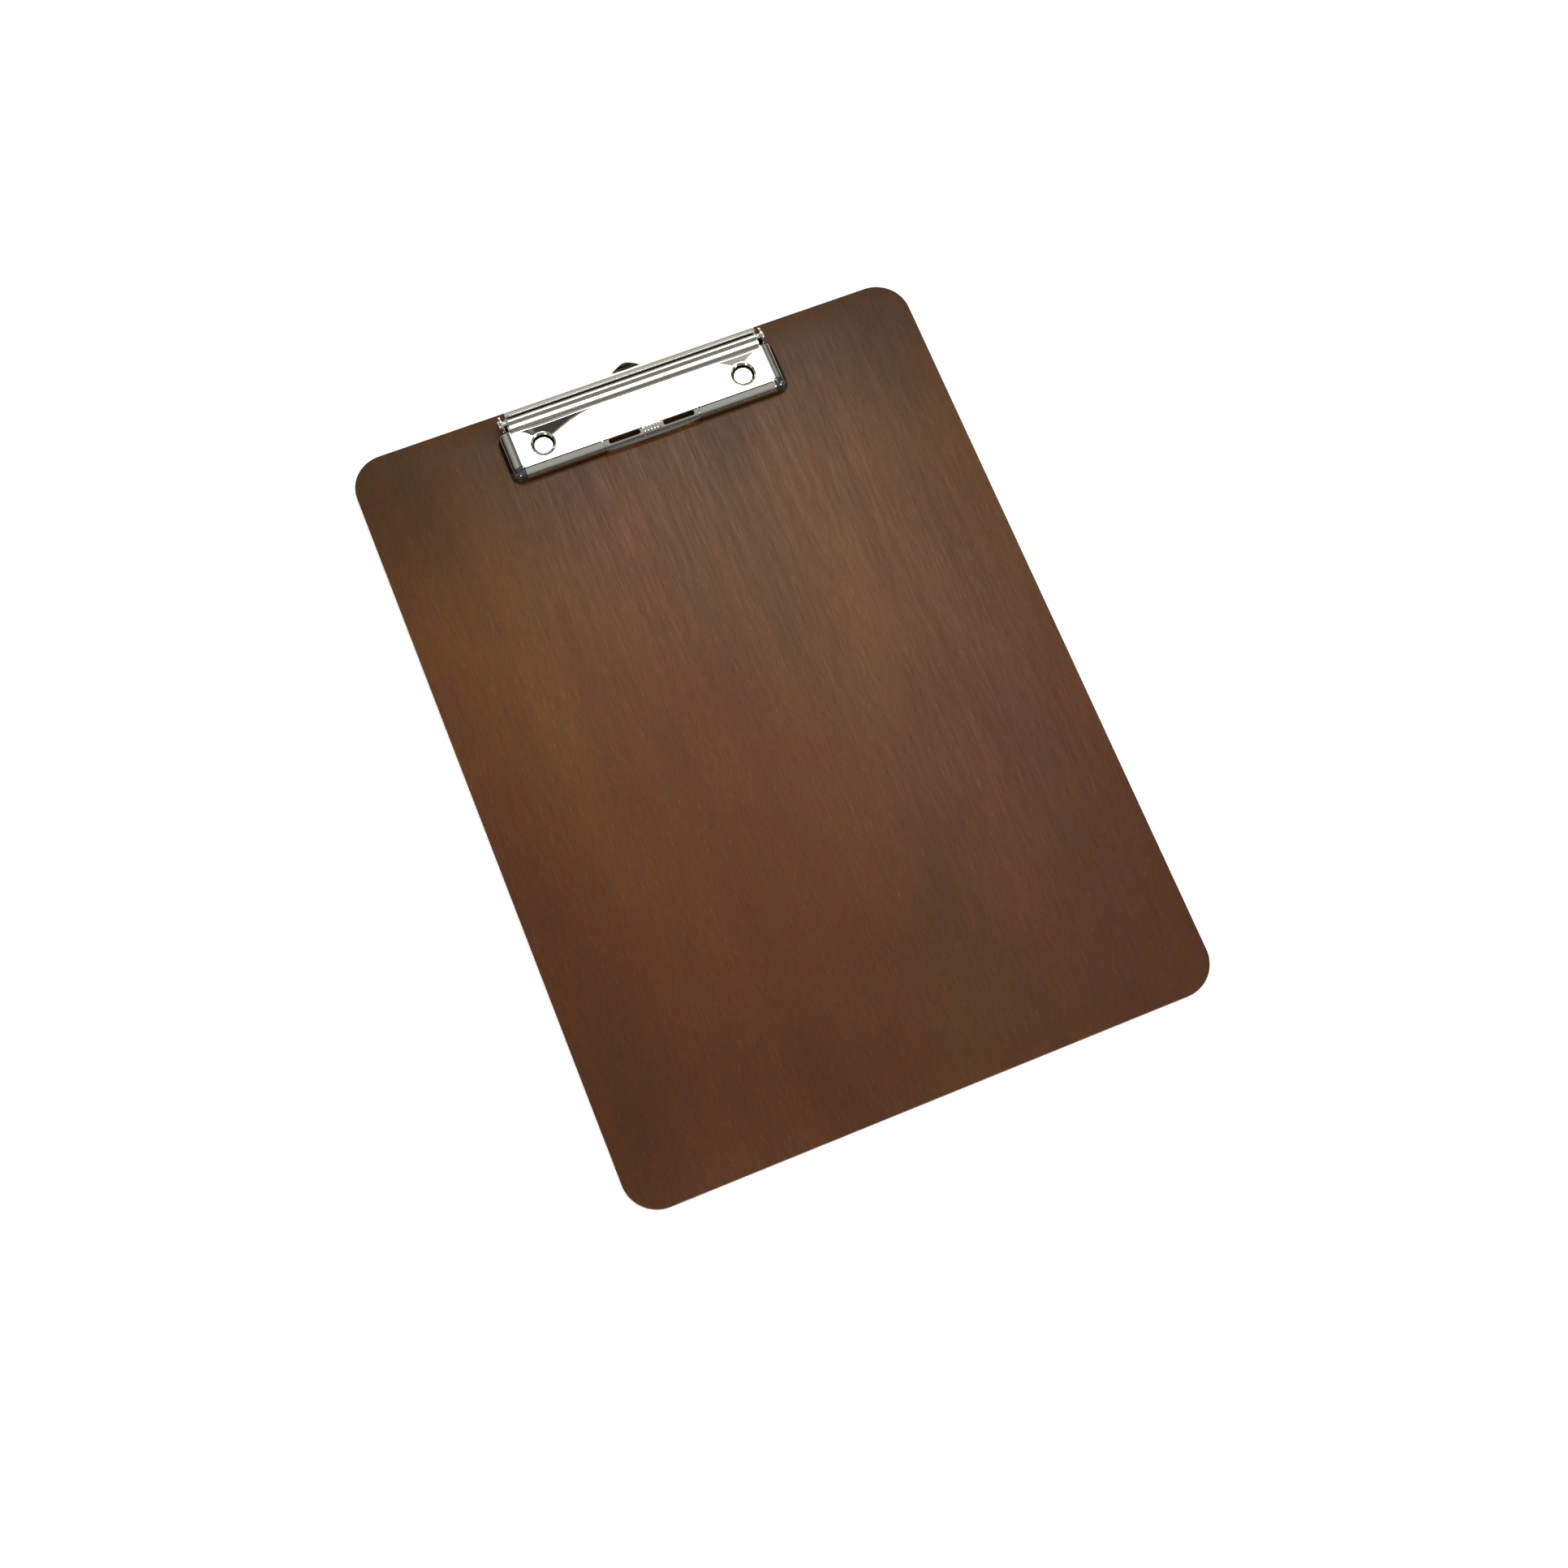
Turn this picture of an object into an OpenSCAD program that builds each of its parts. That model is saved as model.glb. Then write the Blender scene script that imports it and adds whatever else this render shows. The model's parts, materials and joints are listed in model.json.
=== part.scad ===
// A wood-faced clipboard with a low-profile sprung clip and a pull-out hanging tab.
// The board lies flat with its back on z = 0, its length along y and the clip at +y.

/* [Board] */
// Width of the board
board_w = 240; // [225:1:260]
// Length of the board
board_l = 320; // [300:1:360]
// Thickness over core and veneers
board_t = 3; // [2.8:0.1:5]
// Thickness of each wood veneer
veneer_t = 0.4; // [0.3:0.1:0.6]
// Radius of the board's corners
corner_r = 14; // [6:1:25]

/* [Clip] */
// Distance from the board's top edge to the hinge axis
hinge_inset = 7.2; // [6.5:0.1:14]
// Length of the rolled hinge barrel
barrel_l = 107.6; // [104:0.2:112]
// Depth from the hinge axis to the jaw's front lip
jaw_depth = 24.6; // [24:0.1:26]
// Thickness of the jaw and base sheet
sheet_t = 0.8; // [0.7:0.05:0.9]
// Height of the jaw's flat top over the board
plate_z = 5.4; // [5.2:0.1:5.8]
// Radius of the two access holes over the rivets
access_r = 4.5; // [4.2:0.1:4.8]
// Distance between the two rivets
rivet_gap = 86.4; // [78:0.2:90]

/* [Hanging tab] */
// Width of the tab
tab_w = 13; // [11:0.5:13]
// Radius of the hole for a nail
tab_hole_r = 2.6; // [2:0.1:3]
// How far the tab pulls out
tab_travel = 14; // [12:0.5:14]

/* [Hidden] */
$fn = 96;
eps = 0.01;

// Clip frame: y = 0 on the hinge axis, z = 0 on the board's front face.
hinge_y = board_l / 2 - hinge_inset;
hinge_z = 5;
pin_r = 1.2;
pin_head_r = 1.9;
barrel_x = barrel_l / 2;
cap_r = 5;            // outside of the base plate's rolled cap
curl_r = 3.4;         // outside of the jaw's curl, turning inside the cap
curl_in_r = curl_r - sheet_t;
fillet_r = 1.5;
groove_r = 0.35;
groove_angle = 118;

// Jaw: a flat top with rounded side flanges and a rounded front lip.
plate_x = barrel_x + 0.4;
flange_r = 5.6;
flange_z = plate_z - flange_r;
flange_rear_y = -3.8;
lip_r = 4.2;
lip_y = -jaw_depth + lip_r;
lip_z = plate_z - lip_r;
lip_gap = 0.3;        // the bare lip stops this far above the board
grip_gap = 0.1;       // the corner grips stop this far above the board
corner_y = lip_y + 0.8;
grip_x = plate_x + 0.05;
nose_r = 2.5;

// Finger tab in the middle of the front lip.
finger_w = 41;
finger_relief = 0.15;
finger_drop = 60;     // degrees of bend before the tab flares out
finger_slope = 42;    // how far from level it stays
finger_r = 1.2;
finger_reach = 1;
finger_bow = 1;
slot_in = 5;
slot_out = 18.4;
slot_w = 2;
slot_angle = 111;

// Base plate.
base_front_y = -18.4;
bend_r = 1.2;
cap_end = 82;
ear_x = barrel_x + 1.8;
ear_t = 1;
ear_r = 3.4;
channel_z = 1.1;
channel_x = 7.2;
channel_front_y = -15.4;

// Hanging tab.
tab_gap = 0.15;
tab_bend_y = 5.4;
tab_bend_r = 4.2;
tab_bend_end = -15;
tab_end_r = 12;
tab_hole_y = -2.4;
tab_in_y = -14.3;
pip_r = 1.2;
pip_y = -12.7;
pip_h = 0.75;

// Rivets.
rivet_x = rivet_gap / 2;
access_y = -13.4;
rivet_y = -13.2;
rivet_r = 1.9;
rivet_hole_r = 1.95;
rivet_head_r = 4;
rivet_head_h = 2.6;
rivet_rim_h = 2.1;
rivet_edge_r = 0.35;
pocket_r = 4.8;
pocket_z = 1.2;
washer_r = 4.5;
washer_t = 0.4;
tail_r = 3.2;
tail_z = 0.1;
tail_bore_r = 1.2;
tail_bore_z = 2.2;
collar_r = 5.4;
collar_z = 4.1;

// Springs.
wire_r = 0.5;
coil_r = 1.85;
coil_turns = 8;
coil_pitch = 1.06;
coil_x = 20;
coil_steps = 16;
leg_angle = -60;
leg_l = 2.3;
leg_down = 3.65;
wire_sides = 8;
notch_w = 2.4;

// ---- helpers ----

module clip_frame() translate([0, hinge_y, board_t]) children();

// Extrudes a profile drawn in (y, z) along x, centred.
module along_x(length) rotate([90, 0, 90]) linear_extrude(length, center = true) children();

// A length of profile drawn in (y, z) between two places on x.
module span_x(x0, x1) translate([(x0 + x1) / 2, 0, 0]) along_x(x1 - x0) children();

// A rod along x between two places, round the hinge axis.
module hinge_rod(r, x0, x1) translate([x0, 0, hinge_z]) rotate([0, 90, 0]) cylinder(r = r, h = x1 - x0);

// Both sides of the clip.
module both_sides() for (side = [0, 1]) mirror([side, 0, 0]) children();

// Part of a ring between two angles, at most 180 degrees apart.
module ring_sector(r_out, r_in, a0, a1) {
    rays = 4;
    intersection() {
        difference() {
            circle(r_out);
            circle(r_in);
        }
        polygon(concat([[0, 0]], [for (i = [0:rays]) let (a = a0 + (a1 - a0) * i / rays)
            2 * r_out * [cos(a), sin(a)]]));
    }
}

// ---- board ----

module board_outline() {
    union() {
        square([board_w - 2 * corner_r, board_l], center = true);
        square([board_w, board_l - 2 * corner_r], center = true);
        for (x = [-1, 1], y = [-1, 1])
            translate([x * (board_w / 2 - corner_r), y * (board_l / 2 - corner_r)]) circle(corner_r);
    }
}

module board_sheet(z, t, hole_r) {
    translate([0, 0, z]) linear_extrude(t) difference() {
        board_outline();
        for (x = [-rivet_x, rivet_x]) translate([x, hinge_y + rivet_y]) circle(hole_r);
    }
}

module board_core() {
    color("saddlebrown") difference() {
        board_sheet(veneer_t, board_t - 2 * veneer_t, rivet_hole_r);
        for (x = [-rivet_x, rivet_x])
            translate([x, hinge_y + rivet_y, 0]) cylinder(r = pocket_r, h = pocket_z);
    }
}

module front_veneer() color([0.36, 0.23, 0.15]) board_sheet(board_t - veneer_t, veneer_t, rivet_hole_r);

module back_veneer() color([0.36, 0.23, 0.15]) board_sheet(0, veneer_t, pocket_r);

// ---- base plate ----

// Floor, rear wall and rolled cap, drawn in (y, z).
module base_profile() {
    translate([base_front_y, 0]) square([cap_r - bend_r - base_front_y, sheet_t]);
    translate([cap_r - bend_r, bend_r]) ring_sector(bend_r, bend_r - sheet_t, 270, 360);
    translate([cap_r - sheet_t, bend_r]) square([sheet_t, hinge_z - bend_r]);
    translate([0, hinge_z]) ring_sector(cap_r, cap_r - sheet_t, 0, cap_end);
}

module ear() {
    span_x(ear_x, ear_x + ear_t) union() {
        translate([-ear_r, 0]) square([2 * ear_r, hinge_z]);
        translate([0, hinge_z]) circle(ear_r);
    }
    translate([barrel_x - 1, -ear_r, 0]) cube([ear_x + ear_t - barrel_x + 1, 2 * ear_r, sheet_t]);
}

module base_plate() {
    channel_out = channel_x + sheet_t;
    roof_z = channel_z + sheet_t;
    color("silver") clip_frame() difference() {
        union() {
            along_x(barrel_l) base_profile();
            both_sides() ear();
            translate([-channel_out, channel_front_y - sheet_t, 0])
                cube([2 * channel_out, cap_r - sheet_t / 2 - channel_front_y + sheet_t, roof_z]);
        }
        translate([-channel_x, channel_front_y, -1])
            cube([2 * channel_x, cap_r - channel_front_y + 1, channel_z + 1]);
        // The slot in the channel's roof that the tab's pip runs in.
        for (y = [pip_y, pip_y + tab_travel])
            translate([0, y, channel_z - eps]) cylinder(r = pip_r + 0.2, h = sheet_t + 2 * eps);
        translate([-pip_r - 0.2, pip_y, channel_z - eps])
            cube([2 * pip_r + 0.4, tab_travel, sheet_t + 2 * eps]);
        for (x = [-rivet_x, rivet_x])
            translate([x, rivet_y, -1]) cylinder(r = rivet_hole_r, h = 3);
        hinge_rod(pin_r + 0.02, -ear_x - ear_t - 1, ear_x + ear_t + 1);
    }
}

module hinge_pin() {
    color("silver") clip_frame() {
        hinge_rod(pin_r, -ear_x - ear_t, ear_x + ear_t);
        both_sides() translate([ear_x + ear_t, 0, hinge_z]) rotate([0, 90, 0]) rotate_extrude()
            polygon([[0, 0], [pin_head_r, 0], [pin_head_r, 0.3], [0.8 * pin_head_r, 0.7],
                [0.45 * pin_head_r, 0.9], [0, 0.95]]);
    }
}

// ---- jaw ----

// The curl round the pin, its fillet and the flat top, drawn in (y, z).
module jaw_profile() {
    fillet_y = -sqrt(pow(curl_r + fillet_r, 2) - pow(plate_z + fillet_r - hinge_z, 2));
    difference() {
        union() {
            translate([0, hinge_z]) ring_sector(curl_r, curl_in_r, 3, 180);
            translate([lip_y, plate_z - sheet_t]) square([-lip_y - curl_in_r - 0.1, sheet_t]);
            difference() {
                polygon([[fillet_y, plate_z], [fillet_y, plate_z + fillet_r], [0, hinge_z]]);
                translate([fillet_y, plate_z + fillet_r]) circle(fillet_r);
                translate([0, hinge_z]) circle(curl_in_r + 0.1);
            }
        }
        translate([0, hinge_z]) rotate(groove_angle) translate([curl_r + 0.1, 0]) circle(groove_r);
    }
}

module lip_profile() {
    translate([lip_y, lip_z]) ring_sector(lip_r, lip_r - sheet_t, 90, 180);
    translate([-jaw_depth, lip_gap]) square([sheet_t, lip_z - lip_gap]);
}

// The lip flares out half way down, so that a fingertip fits under it.
module finger_profile() {
    turn = 90 + finger_drop;
    lap = 2;
    away = (lip_r + finger_r) * [cos(turn), sin(turn)];
    translate([lip_y, lip_z]) {
        ring_sector(lip_r, lip_r - sheet_t, 90 - lap, turn + lap);
        translate(away) rotate(finger_slope) {
            ring_sector(finger_r + sheet_t, finger_r, -90 - lap, turn - 180 - finger_slope);
            translate([-finger_reach, -finger_r - sheet_t]) square([finger_reach, sheet_t]);
        }
    }
}

module finger_tab() {
    half = finger_w / 2 - finger_relief;
    bow_r = (pow(finger_w / 2, 2) + pow(finger_bow, 2)) / (2 * finger_bow);
    tip_y = lip_y + (lip_r + finger_r) * cos(90 + finger_drop) + finger_r * sin(finger_slope)
        - finger_reach * cos(finger_slope);
    intersection() {
        along_x(2 * half) finger_profile();
        translate([0, tip_y + bow_r, 0]) cylinder(r = bow_r, h = plate_z + 1, $fn = 360);
    }
}

module jaw_side() {
    span_x(finger_w / 2, plate_x - 0.3) lip_profile();
    translate([plate_x, flange_rear_y, flange_z]) rotate([90, 0, 0])
        linear_extrude(flange_rear_y - corner_y) ring_sector(flange_r, flange_r - sheet_t, 6, 90);
    translate([barrel_x - 1, lip_y, plate_z - sheet_t])
        cube([plate_x - barrel_x + 1, flange_rear_y - lip_y, sheet_t]);
    hinge_rod(curl_r - 0.4, barrel_x - sheet_t, barrel_x);
    translate([rivet_x, access_y, collar_z]) cylinder(r = collar_r, h = plate_z - collar_z - 0.3);
}

module finger_slot() {
    translate([0, lip_y, lip_z]) rotate([slot_angle - 90, 0, 0])
        translate([slot_in, -slot_w / 2, lip_r - 2]) cube([slot_out - slot_in, slot_w, 3]);
}

module jaw_plate() {
    leg_x = coil_x + coil_turns * coil_pitch;
    color("gainsboro") clip_frame() difference() {
        union() {
            along_x(barrel_l) jaw_profile();
            finger_tab();
            both_sides() jaw_side();
        }
        both_sides() {
            translate([rivet_x, access_y, 0]) {
                cylinder(r = access_r, h = plate_z + 1);
                translate([0, 0, plate_z - 0.8]) cylinder(r1 = access_r - eps, r2 = collar_r - 0.1, h = 0.8 + eps);
            }
            finger_slot();
            // Clears the spring's fixed leg as the curl turns.
            translate([leg_x - notch_w / 2, 1.6, hinge_z - 1]) cube([notch_w, 3, 3.5]);
        }
        hinge_rod(pin_r + 0.05, -barrel_x - 1, barrel_x + 1);
    }
}

// A soft cap over the cut corner of the jaw, with a tongue under the flat top.
module corner_grip() {
    side = flange_r - 0.1;
    front = lip_r - 0.1;
    nose_x = plate_x + flange_r - 0.15 - nose_r;
    nose_y = -jaw_depth + nose_r;
    hull($fn = 32) {
        // Meets the side flange.
        translate([grip_x, corner_y - 0.05, flange_z]) rotate([90, 0, 0])
            linear_extrude(0.2) intersection() {
                circle(side);
                translate([0, grip_gap - flange_z]) square(side + 1);
            }
        // Meets the front lip.
        span_x(grip_x, grip_x + 0.2) intersection() {
            union() {
                translate([lip_y, lip_z]) circle(front);
                translate([lip_y - front, grip_gap]) square([front, lip_z]);
            }
            translate([-jaw_depth - 1, grip_gap]) square([jaw_depth + 1 + lip_y - 0.05, plate_z]);
        }
        translate([nose_x, nose_y, grip_gap + nose_r]) sphere(nose_r);
        translate([nose_x, nose_y, grip_gap]) cylinder(r = nose_r - 0.1, h = 1);
    }
    translate([grip_x - 4, lip_y + 0.2, plate_z - sheet_t - 1.25]) cube([4.4, 3.4, 1.2]);
}

module corner_grip_right() color("dimgray") clip_frame() corner_grip();

module corner_grip_left() color("dimgray") clip_frame() mirror([1, 0, 0]) corner_grip();

// ---- springs ----

// Centre line of a spring: its moving leg, the coil and its fixed leg.
function coil_point(a, x) = [x, coil_r * cos(a), hinge_z + coil_r * sin(a)];
function spring_path() =
    let (sweep = 360 * coil_turns + leg_angle,
         count = coil_turns * coil_steps,
         leg_dir = [0, -sin(leg_angle), cos(leg_angle)],
         last = coil_point(0, coil_x + coil_turns * coil_pitch))
    concat(
        [for (s = [leg_l, leg_l / 2]) coil_point(leg_angle, coil_x) + s * leg_dir],
        [for (i = [0:count]) coil_point(leg_angle - sweep * i / count, coil_x + coil_turns * coil_pitch * i / count)],
        [for (s = [leg_down / 2, leg_down]) last - [0, 0, s]]);

// A round wire of many sides along a path that never runs along x.
module wire_along(path, r) {
    n = len(path);
    s = wire_sides;
    function unit(v) = v / norm(v);
    function way(i) = unit(path[min(i + 1, n - 1)] - path[max(i - 1, 0)]);
    function side(i) = unit(cross(way(i), [1, 0, 0]));
    rings = [for (i = [0:n - 1]) let (u = side(i), v = cross(way(i), u))
        for (k = [0:s - 1]) path[i] + r * (u * cos(360 * k / s) + v * sin(360 * k / s))];
    skin = [for (i = [0:n - 2], k = [0:s - 1]) let (a = i * s + k, b = i * s + (k + 1) % s)
        each [[a, b + s, b], [a, a + s, b + s]]];
    ends = [[for (k = [0:s - 1]) k], [for (k = [s - 1:-1:0]) (n - 1) * s + k]];
    polyhedron(rings, concat(skin, ends));
}

module torsion_spring_right() color("lightgray") clip_frame() wire_along(spring_path(), wire_r);

module torsion_spring_left()
    color("lightgray") clip_frame() mirror([1, 0, 0]) wire_along(spring_path(), wire_r);

// ---- hanging tab ----

module tab_profile() {
    translate([tab_in_y, tab_gap]) square([tab_bend_y - tab_in_y, sheet_t]);
    translate([tab_bend_y, tab_gap + tab_bend_r])
        ring_sector(tab_bend_r, tab_bend_r - sheet_t, -90, tab_bend_end);
}

module hang_tab() {
    tip_y = tab_bend_y + tab_bend_r * cos(tab_bend_end);
    round_y = tip_y - tab_end_r;
    color("darkkhaki") clip_frame() difference() {
        union() {
            intersection() {
                along_x(tab_w) tab_profile();
                union() {
                    translate([-tab_w, tab_in_y - 1, -1]) cube([2 * tab_w, round_y - tab_in_y + 1, 8]);
                    translate([0, round_y, -1]) cylinder(r = tab_end_r, h = 8);
                }
            }
            translate([0, pip_y, tab_gap + sheet_t / 2]) cylinder(r = pip_r, h = pip_h + sheet_t / 2);
        }
        translate([0, tab_hole_y, -1]) cylinder(r = tab_hole_r, h = 3);
    }
}

// ---- rivets ----

// The head, shank and rolled tail of a hollow-ended rivet, with z = 0 on the board's back.
module rivet(side) {
    head_z = board_t + sheet_t;
    color("gainsboro") translate([side * rivet_x, hinge_y + rivet_y, 0]) difference() {
        rotate_extrude() polygon([
            [0, tail_z], [tail_r - 0.4, tail_z], [tail_r, tail_z + 0.3], [tail_r, pocket_z - washer_t],
            [rivet_r, pocket_z - washer_t], [rivet_r, head_z], [rivet_head_r, head_z],
            for (a = [0:15:90])
                [rivet_head_r - rivet_edge_r * (1 - cos(a)), head_z + rivet_rim_h + rivet_edge_r * sin(a)],
            [0, head_z + rivet_head_h]
        ]);
        translate([0, 0, -eps]) cylinder(r = tail_bore_r, h = tail_bore_z);
    }
}

module rivet_washer(side) {
    color("silver") translate([side * rivet_x, hinge_y + rivet_y, pocket_z - washer_t]) difference() {
        cylinder(r = washer_r, h = washer_t);
        translate([0, 0, -1]) cylinder(r = rivet_hole_r, h = 3);
    }
}

module rivet_left() rivet(-1);
module rivet_right() rivet(1);
module rivet_washer_left() rivet_washer(-1);
module rivet_washer_right() rivet_washer(1);

board_core();
front_veneer();
back_veneer();
base_plate();
hinge_pin();
jaw_plate();
torsion_spring_left();
torsion_spring_right();
corner_grip_left();
corner_grip_right();
hang_tab();
rivet_left();
rivet_right();
rivet_washer_left();
rivet_washer_right();
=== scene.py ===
"""The clipboard's looks: a walnut-faced board and its nickel-plated clip, in metres in the part's frame."""

import json
import math

import bmesh
import bpy
from mathutils import Matrix, Vector


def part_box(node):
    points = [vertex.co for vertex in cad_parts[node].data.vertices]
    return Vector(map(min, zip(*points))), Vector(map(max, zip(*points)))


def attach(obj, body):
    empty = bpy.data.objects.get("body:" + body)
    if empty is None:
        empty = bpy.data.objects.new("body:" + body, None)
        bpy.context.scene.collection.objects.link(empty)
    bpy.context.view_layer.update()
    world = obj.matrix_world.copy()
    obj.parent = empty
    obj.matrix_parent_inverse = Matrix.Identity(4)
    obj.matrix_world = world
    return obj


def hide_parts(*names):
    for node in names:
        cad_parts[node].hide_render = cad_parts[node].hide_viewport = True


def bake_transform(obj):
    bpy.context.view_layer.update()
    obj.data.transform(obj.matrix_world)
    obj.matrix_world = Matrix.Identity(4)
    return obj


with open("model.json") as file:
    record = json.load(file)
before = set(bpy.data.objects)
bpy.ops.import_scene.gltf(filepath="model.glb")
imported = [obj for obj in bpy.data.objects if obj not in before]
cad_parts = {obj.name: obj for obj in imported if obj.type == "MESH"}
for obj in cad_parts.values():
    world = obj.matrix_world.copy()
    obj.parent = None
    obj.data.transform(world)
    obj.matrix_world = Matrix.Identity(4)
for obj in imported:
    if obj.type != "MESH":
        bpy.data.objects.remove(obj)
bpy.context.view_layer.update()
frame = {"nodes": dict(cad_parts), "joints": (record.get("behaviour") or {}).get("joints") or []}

MM = 0.001
SHEET_T = 0.8
_, board_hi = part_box("front_veneer")
BOARD_W, BOARD_L = board_hi.x * 2, board_hi.y * 2
BOARD_T = board_hi.z
hinge = next(j for j in frame["joints"] if j["name"] == "jaw_lift")
HINGE_Y, HINGE_Z = hinge["pos_m"][1], hinge["pos_m"][2]
HZ = (HINGE_Z - BOARD_T) / MM


def clip(x, y, z):
    """A point given in mm from the hinge line (y) and the board's face (z), in metres."""
    return Vector((x * MM, HINGE_Y + y * MM, BOARD_T + z * MM))


# ---------------------------------------------------------------- mesh helpers


def spread(a, b, n):
    return [a + (b - a) * i / n for i in range(n + 1)]


def stations(*parts):
    """One rising list from several lists of numbers, without repeats."""
    numbers = sorted(x for part in parts for x in part)
    return [x for i, x in enumerate(numbers) if i == 0 or x - numbers[i - 1] > 1e-5]


def both_ways(xs):
    return stations([-x for x in xs], xs)


def smooth(t):
    t = min(1.0, max(0.0, t))
    return t * t * (3 - 2 * t)


def arc(cx, cy, r, a0, a1, n):
    """Points on an arc, as (x, y), with the angles in degrees."""
    turns = [math.radians(a) for a in spread(a0, a1, n)]
    return [(cx + r * math.cos(a), cy + r * math.sin(a)) for a in turns]


def along(points, t):
    """The point a share t of the way along a smooth curve through the points, as (x, y)."""
    lengths = [math.dist(p, q) for p, q in zip(points, points[1:])]
    left = t * sum(lengths)
    i = 0
    while i < len(lengths) - 1 and left > lengths[i]:
        left -= lengths[i]
        i += 1
    s = min(1.0, left / lengths[i])
    p = [Vector(points[k]) for k in (max(i - 1, 0), i, i + 1, min(i + 2, len(points) - 1))]
    return (p[1] * 2 + (p[2] - p[0]) * s + (p[0] * 2 - p[1] * 5 + p[2] * 4 - p[3]) * s * s
            + (p[1] * 3 - p[0] - p[2] * 3 + p[3]) * s ** 3) / 2


def make_object(name, verts, faces, sharp=None):
    mesh = bpy.data.meshes.new(name)
    mesh.from_pydata([tuple(v) for v in verts], [], faces)
    bm = bmesh.new()
    bm.from_mesh(mesh)
    bmesh.ops.remove_doubles(bm, verts=bm.verts, dist=1e-7)
    bmesh.ops.recalc_face_normals(bm, faces=bm.faces)
    bm.to_mesh(mesh)
    bm.free()
    mesh.polygons.foreach_set("use_smooth", [True] * len(mesh.polygons))
    obj = bpy.data.objects.new(name, mesh)
    bpy.context.scene.collection.objects.link(obj)
    if sharp:
        mark_sharp(obj, sharp)
    return obj


def mark_sharp(obj, degrees):
    bm = bmesh.new()
    bm.from_mesh(obj.data)
    for e in bm.edges:
        e.smooth = e.is_boundary or e.calc_face_angle(0) < math.radians(degrees)
    bm.to_mesh(obj.data)
    bm.free()


def thicken(verts, faces, thickness, outward, behind=None):
    """Closes a surface into a sheet, with a second skin behind the side that mostly looks along outward."""
    bm = bmesh.new()
    points = [bm.verts.new(v) for v in verts]
    for f in faces:
        bm.faces.new([points[i] for i in f])
    bmesh.ops.remove_doubles(bm, verts=bm.verts, dist=1e-7)
    bmesh.ops.recalc_face_normals(bm, faces=bm.faces)
    if sum(f.normal.dot(Vector(outward)) * f.calc_area() for f in bm.faces) < 0:
        bmesh.ops.reverse_faces(bm, faces=bm.faces)
    bm.normal_update()
    bm.verts.index_update()
    count = len(bm.verts)
    outer = [v.co.copy() for v in bm.verts]
    inner = [v.co - v.normal * thickness for v in bm.verts]
    if behind:
        inner = [behind(a, b) for a, b in zip(outer, inner)]
    skin = [[v.index for v in f.verts] for f in bm.faces]
    rim = []
    for e in bm.edges:
        if e.is_boundary:
            loop = e.link_loops[0]
            i, k = loop.vert.index, loop.link_loop_next.vert.index
            rim.append([k, i, i + count, k + count])
    bm.free()
    return outer + inner, skin + [[i + count for i in reversed(f)] for f in skin] + rim


def ease_edges(obj, width, degrees=50, segments=2):
    """Rounds the edges sharper than an angle, by a width in mm, and keeps the result as the mesh."""
    bevel = obj.modifiers.new("eased edges", "BEVEL")
    bevel.width = width * MM
    bevel.segments = segments
    bevel.limit_method = "ANGLE"
    bevel.angle_limit = math.radians(degrees)
    graph = bpy.context.evaluated_depsgraph_get()
    mesh = bpy.data.meshes.new_from_object(obj.evaluated_get(graph))
    obj.modifiers.clear()
    obj.data = mesh
    return obj


def sheet(name, us, vs, point, outward, keep=lambda u, v: True, holes=(), edge=0.12, behind=None):
    """A sheet-metal piece: a grid over (us, vs) placed by point(u, v), thickened, with its edges eased.

    Each hole is (centre u, centre v, half width u, half width v, outline, shares). For each share, from
    0 at the border of the hole's patch to 1 at its edge, outline(angle, share, u, v) gives (u, v, drop).
    """
    verts, faces, index = [], [], {}

    def vertex(u, v, drop=0.0):
        key = (round(u, 5), round(v, 6), round(drop, 5))
        if key not in index:
            index[key] = len(verts)
            verts.append(point(u, v) - Vector((0, 0, drop * MM)))
        return index[key]

    for u0, u1 in zip(us, us[1:]):
        for v0, v1 in zip(vs, vs[1:]):
            u, v = (u0 + u1) / 2, (v0 + v1) / 2
            if keep(u, v) and not any(abs(u - h[0]) < h[2] and abs(v - h[1]) < h[3] for h in holes):
                faces.append([vertex(u0, v0), vertex(u1, v0), vertex(u1, v1), vertex(u0, v1)])
    for cu, cv, hu, hv, outline, shares in holes:
        inner_u = [u for u in us if abs(u - cu) <= hu + 1e-5]
        inner_v = [v for v in vs if abs(v - cv) <= hv + 1e-5]
        border = [(u, inner_v[0]) for u in inner_u] + [(inner_u[-1], v) for v in inner_v[1:]]
        border += [(u, inner_v[-1]) for u in inner_u[-2::-1]] + [(inner_u[0], v) for v in inner_v[-2:0:-1]]
        rings = [[vertex(u, v) for u, v in border]]
        for share in shares:
            rings.append([vertex(*outline(math.atan2((v - cv) / hv, (u - cu) / hu), share, u, v))
                          for u, v in border])
        n = len(border)
        for a, b in zip(rings, rings[1:]):
            faces += [[a[i], a[(i + 1) % n], b[(i + 1) % n], b[i]] for i in range(n)]
    obj = make_object(name, *thicken(verts, faces, SHEET_T * MM, outward, behind))
    return ease_edges(obj, edge) if edge else obj


def round_hole(x, y, v_of_y, rings):
    """An outline for a round hole's patch. rings maps shares to (radius, drop) in mm."""
    start, way = min(rings), 1 if v_of_y(y + 1) > v_of_y(y) else -1

    def outline(angle, share, u, v):
        r, drop = rings.get(share, (rings[start][0], 0.0))
        t = min(1.0, share / start)
        ring_u, ring_v = x + r * math.cos(angle), v_of_y(y + way * r * math.sin(angle))
        return u + (ring_u - u) * t, v + (ring_v - v) * t, drop
    return outline


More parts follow.
